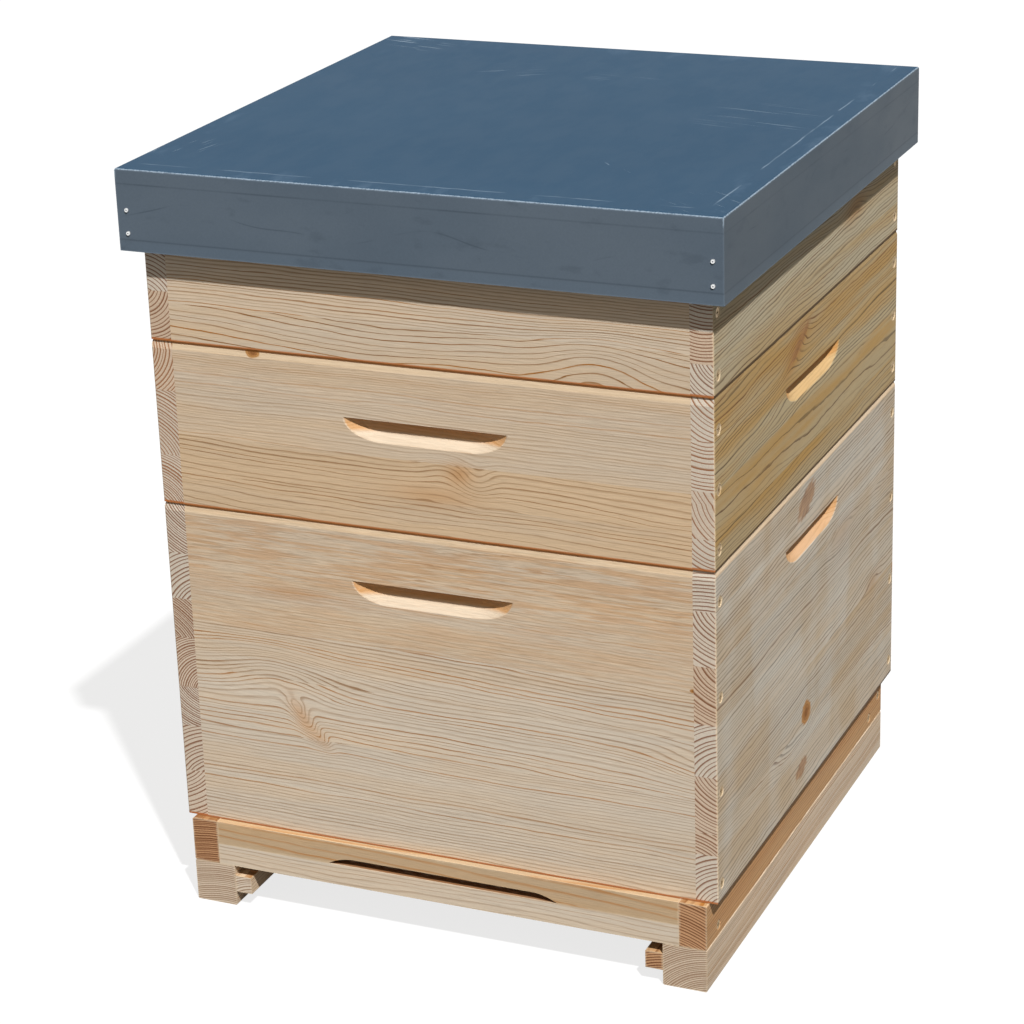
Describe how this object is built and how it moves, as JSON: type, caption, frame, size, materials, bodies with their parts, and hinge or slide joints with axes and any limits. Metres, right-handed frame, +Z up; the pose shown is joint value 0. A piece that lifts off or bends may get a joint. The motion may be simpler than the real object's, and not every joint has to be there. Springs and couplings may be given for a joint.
{
  "type": "beehive",
  "caption": "Square wooden beehive: low base with entrance slot, mesh floor and pull-out tray, deep brood box, shallow supers with lift-out frames, cover board and folded metal roof.",
  "frame": {"origin": "ground level under the middle of the boxes", "axes": "+Z up, the entrance faces -Y, +X to the right seen from the entrance side"},
  "size_m": [0.536, 0.538, 0.6838],
  "materials": {
    "box_pine": "bare planed pine, glue-laminated",
    "base_pine": "bare sawn pine",
    "frame_wood": "bare planed limewood",
    "hardboard": "smooth pressed board",
    "roof_steel": "blue-grey coated sheet, lightly scratched",
    "rivet_aluminium": "plain",
    "galvanised": "galvanised",
    "screw_steel": "zinc plated"
  },
  "bodies": {
    "base": {"left_runner": "base_pine", "right_runner": "base_pine", "left_side_rail": "base_pine", "right_side_rail": "base_pine", "entrance_bar": "base_pine", "sill_board": "base_pine", "back_bar": "base_pine", "rear_floor_bar": "base_pine", "left_mesh_batten": "base_pine", "right_mesh_batten": "base_pine", "left_tray_cleat": "base_pine", "right_tray_cleat": "base_pine", "floor_mesh": "galvanised", "base_screws": "screw_steel"},
    "varroa_tray": {"varroa_tray": "hardboard"},
    "brood_box": {"brood_front_panel": "box_pine", "brood_back_panel": "box_pine", "brood_left_panel": "box_pine", "brood_right_panel": "box_pine", "brood_screws": "screw_steel"},
    "brood_frame_01": {"brood_frame_01": "frame_wood"},
    "brood_frame_02": {"brood_frame_02": "frame_wood"},
    "brood_frame_03": {"brood_frame_03": "frame_wood"},
    "brood_frame_04": {"brood_frame_04": "frame_wood"},
    "brood_frame_05": {"brood_frame_05": "frame_wood"},
    "brood_frame_06": {"brood_frame_06": "frame_wood"},
    "brood_frame_07": {"brood_frame_07": "frame_wood"},
    "brood_frame_08": {"brood_frame_08": "frame_wood"},
    "brood_frame_09": {"brood_frame_09": "frame_wood"},
    "brood_frame_10": {"brood_frame_10": "frame_wood"},
    "brood_frame_11": {"brood_frame_11": "frame_wood"},
    "brood_frame_12": {"brood_frame_12": "frame_wood"},
    "lower_super": {"lower_super_front_panel": "box_pine", "lower_super_back_panel": "box_pine", "lower_super_left_panel": "box_pine", "lower_super_right_panel": "box_pine", "lower_super_screws": "screw_steel"},
    "lower_super_frame_01": {"lower_super_frame_01": "frame_wood"},
    "lower_super_frame_02": {"lower_super_frame_02": "frame_wood"},
    "lower_super_frame_03": {"lower_super_frame_03": "frame_wood"},
    "lower_super_frame_04": {"lower_super_frame_04": "frame_wood"},
    "lower_super_frame_05": {"lower_super_frame_05": "frame_wood"},
    "lower_super_frame_06": {"lower_super_frame_06": "frame_wood"},
    "lower_super_frame_07": {"lower_super_frame_07": "frame_wood"},
    "lower_super_frame_08": {"lower_super_frame_08": "frame_wood"},
    "lower_super_frame_09": {"lower_super_frame_09": "frame_wood"},
    "lower_super_frame_10": {"lower_super_frame_10": "frame_wood"},
    "lower_super_frame_11": {"lower_super_frame_11": "frame_wood"},
    "lower_super_frame_12": {"lower_super_frame_12": "frame_wood"},
    "upper_super": {"upper_super_front_panel": "box_pine", "upper_super_back_panel": "box_pine", "upper_super_left_panel": "box_pine", "upper_super_right_panel": "box_pine", "upper_super_screws": "screw_steel"},
    "upper_super_frames": {"upper_super_frames": "frame_wood"},
    "cover_board": {"cover_board": "hardboard"},
    "roof": {"roof_sheet": "roof_steel", "roof_rivets": "rivet_aluminium"}
  },
  "joints": [
    {"name": "tray_slide", "type": "slide", "parent": "base", "child": "varroa_tray", "axis": [0, 1, 0], "range_m": [0, 0.4]},
    {"name": "brood_box_lift", "type": "slide", "parent": "base", "child": "brood_box", "axis": [0, 0, 1], "range_m": [0, 0.15]},
    {"name": "lower_super_lift", "type": "slide", "parent": "brood_box", "child": "lower_super", "axis": [0, 0, 1], "range_m": [0, 0.45]},
    {"name": "upper_super_lift", "type": "slide", "parent": "lower_super", "child": "upper_super", "axis": [0, 0, 1], "range_m": [0, 0.3]},
    {"name": "cover_lift", "type": "slide", "parent": "upper_super", "child": "cover_board", "axis": [0, 0, 1], "range_m": [0, 0.3]},
    {"name": "roof_lift", "type": "slide", "parent": "cover_board", "child": "roof", "axis": [0, 0, 1], "range_m": [0, 0.15]},
    {"name": "brood_frame_01_lift", "type": "slide", "parent": "brood_box", "child": "brood_frame_01", "axis": [0, 0, 1], "range_m": [0, 0.31]},
    {"name": "brood_frame_02_lift", "type": "slide", "parent": "brood_box", "child": "brood_frame_02", "axis": [0, 0, 1], "range_m": [0, 0.31]},
    {"name": "brood_frame_03_lift", "type": "slide", "parent": "brood_box", "child": "brood_frame_03", "axis": [0, 0, 1], "range_m": [0, 0.31]},
    {"name": "brood_frame_04_lift", "type": "slide", "parent": "brood_box", "child": "brood_frame_04", "axis": [0, 0, 1], "range_m": [0, 0.31]},
    {"name": "brood_frame_05_lift", "type": "slide", "parent": "brood_box", "child": "brood_frame_05", "axis": [0, 0, 1], "range_m": [0, 0.31]},
    {"name": "brood_frame_06_lift", "type": "slide", "parent": "brood_box", "child": "brood_frame_06", "axis": [0, 0, 1], "range_m": [0, 0.31]},
    {"name": "brood_frame_07_lift", "type": "slide", "parent": "brood_box", "child": "brood_frame_07", "axis": [0, 0, 1], "range_m": [0, 0.31]},
    {"name": "brood_frame_08_lift", "type": "slide", "parent": "brood_box", "child": "brood_frame_08", "axis": [0, 0, 1], "range_m": [0, 0.31]},
    {"name": "brood_frame_09_lift", "type": "slide", "parent": "brood_box", "child": "brood_frame_09", "axis": [0, 0, 1], "range_m": [0, 0.31]},
    {"name": "brood_frame_10_lift", "type": "slide", "parent": "brood_box", "child": "brood_frame_10", "axis": [0, 0, 1], "range_m": [0, 0.31]},
    {"name": "brood_frame_11_lift", "type": "slide", "parent": "brood_box", "child": "brood_frame_11", "axis": [0, 0, 1], "range_m": [0, 0.31]},
    {"name": "brood_frame_12_lift", "type": "slide", "parent": "brood_box", "child": "brood_frame_12", "axis": [0, 0, 1], "range_m": [0, 0.31]},
    {"name": "lower_super_frame_01_lift", "type": "slide", "parent": "lower_super", "child": "lower_super_frame_01", "axis": [0, 0, 1], "range_m": [0, 0.165]},
    {"name": "lower_super_frame_02_lift", "type": "slide", "parent": "lower_super", "child": "lower_super_frame_02", "axis": [0, 0, 1], "range_m": [0, 0.165]},
    {"name": "lower_super_frame_03_lift", "type": "slide", "parent": "lower_super", "child": "lower_super_frame_03", "axis": [0, 0, 1], "range_m": [0, 0.165]},
    {"name": "lower_super_frame_04_lift", "type": "slide", "parent": "lower_super", "child": "lower_super_frame_04", "axis": [0, 0, 1], "range_m": [0, 0.165]},
    {"name": "lower_super_frame_05_lift", "type": "slide", "parent": "lower_super", "child": "lower_super_frame_05", "axis": [0, 0, 1], "range_m": [0, 0.165]},
    {"name": "lower_super_frame_06_lift", "type": "slide", "parent": "lower_super", "child": "lower_super_frame_06", "axis": [0, 0, 1], "range_m": [0, 0.165]},
    {"name": "lower_super_frame_07_lift", "type": "slide", "parent": "lower_super", "child": "lower_super_frame_07", "axis": [0, 0, 1], "range_m": [0, 0.165]},
    {"name": "lower_super_frame_08_lift", "type": "slide", "parent": "lower_super", "child": "lower_super_frame_08", "axis": [0, 0, 1], "range_m": [0, 0.165]},
    {"name": "lower_super_frame_09_lift", "type": "slide", "parent": "lower_super", "child": "lower_super_frame_09", "axis": [0, 0, 1], "range_m": [0, 0.165]},
    {"name": "lower_super_frame_10_lift", "type": "slide", "parent": "lower_super", "child": "lower_super_frame_10", "axis": [0, 0, 1], "range_m": [0, 0.165]},
    {"name": "lower_super_frame_11_lift", "type": "slide", "parent": "lower_super", "child": "lower_super_frame_11", "axis": [0, 0, 1], "range_m": [0, 0.165]},
    {"name": "lower_super_frame_12_lift", "type": "slide", "parent": "lower_super", "child": "lower_super_frame_12", "axis": [0, 0, 1], "range_m": [0, 0.165]},
    {"name": "upper_super_frames_lift", "type": "slide", "parent": "upper_super", "child": "upper_super_frames", "axis": [0, 0, 1], "range_m": [0, 0.165]}
  ],
  "couplings": [
    {"joint": "brood_frame_01_lift", "follows": "lower_super_lift", "ratio": 0.6888},
    {"joint": "brood_frame_02_lift", "follows": "lower_super_lift", "ratio": 0.6888},
    {"joint": "brood_frame_03_lift", "follows": "lower_super_lift", "ratio": 0.6888},
    {"joint": "brood_frame_04_lift", "follows": "lower_super_lift", "ratio": 0.6888},
    {"joint": "brood_frame_05_lift", "follows": "lower_super_lift", "ratio": 0.6888},
    {"joint": "brood_frame_06_lift", "follows": "lower_super_lift", "ratio": 0.6888},
    {"joint": "brood_frame_07_lift", "follows": "lower_super_lift", "ratio": 0.6888},
    {"joint": "brood_frame_08_lift", "follows": "lower_super_lift", "ratio": 0.6888},
    {"joint": "brood_frame_09_lift", "follows": "lower_super_lift", "ratio": 0.6888},
    {"joint": "brood_frame_10_lift", "follows": "lower_super_lift", "ratio": 0.6888},
    {"joint": "brood_frame_11_lift", "follows": "lower_super_lift", "ratio": 0.6888},
    {"joint": "brood_frame_12_lift", "follows": "lower_super_lift", "ratio": 0.6888},
    {"joint": "lower_super_frame_01_lift", "follows": "upper_super_lift", "ratio": 0.55},
    {"joint": "lower_super_frame_02_lift", "follows": "upper_super_lift", "ratio": 0.55},
    {"joint": "lower_super_frame_03_lift", "follows": "upper_super_lift", "ratio": 0.55},
    {"joint": "lower_super_frame_04_lift", "follows": "upper_super_lift", "ratio": 0.55},
    {"joint": "lower_super_frame_05_lift", "follows": "upper_super_lift", "ratio": 0.55},
    {"joint": "lower_super_frame_06_lift", "follows": "upper_super_lift", "ratio": 0.55},
    {"joint": "lower_super_frame_07_lift", "follows": "upper_super_lift", "ratio": 0.55},
    {"joint": "lower_super_frame_08_lift", "follows": "upper_super_lift", "ratio": 0.55},
    {"joint": "lower_super_frame_09_lift", "follows": "upper_super_lift", "ratio": 0.55},
    {"joint": "lower_super_frame_10_lift", "follows": "upper_super_lift", "ratio": 0.55},
    {"joint": "lower_super_frame_11_lift", "follows": "upper_super_lift", "ratio": 0.55},
    {"joint": "lower_super_frame_12_lift", "follows": "upper_super_lift", "ratio": 0.55},
    {"joint": "upper_super_frames_lift", "follows": "cover_lift", "ratio": 0.55}
  ]
}
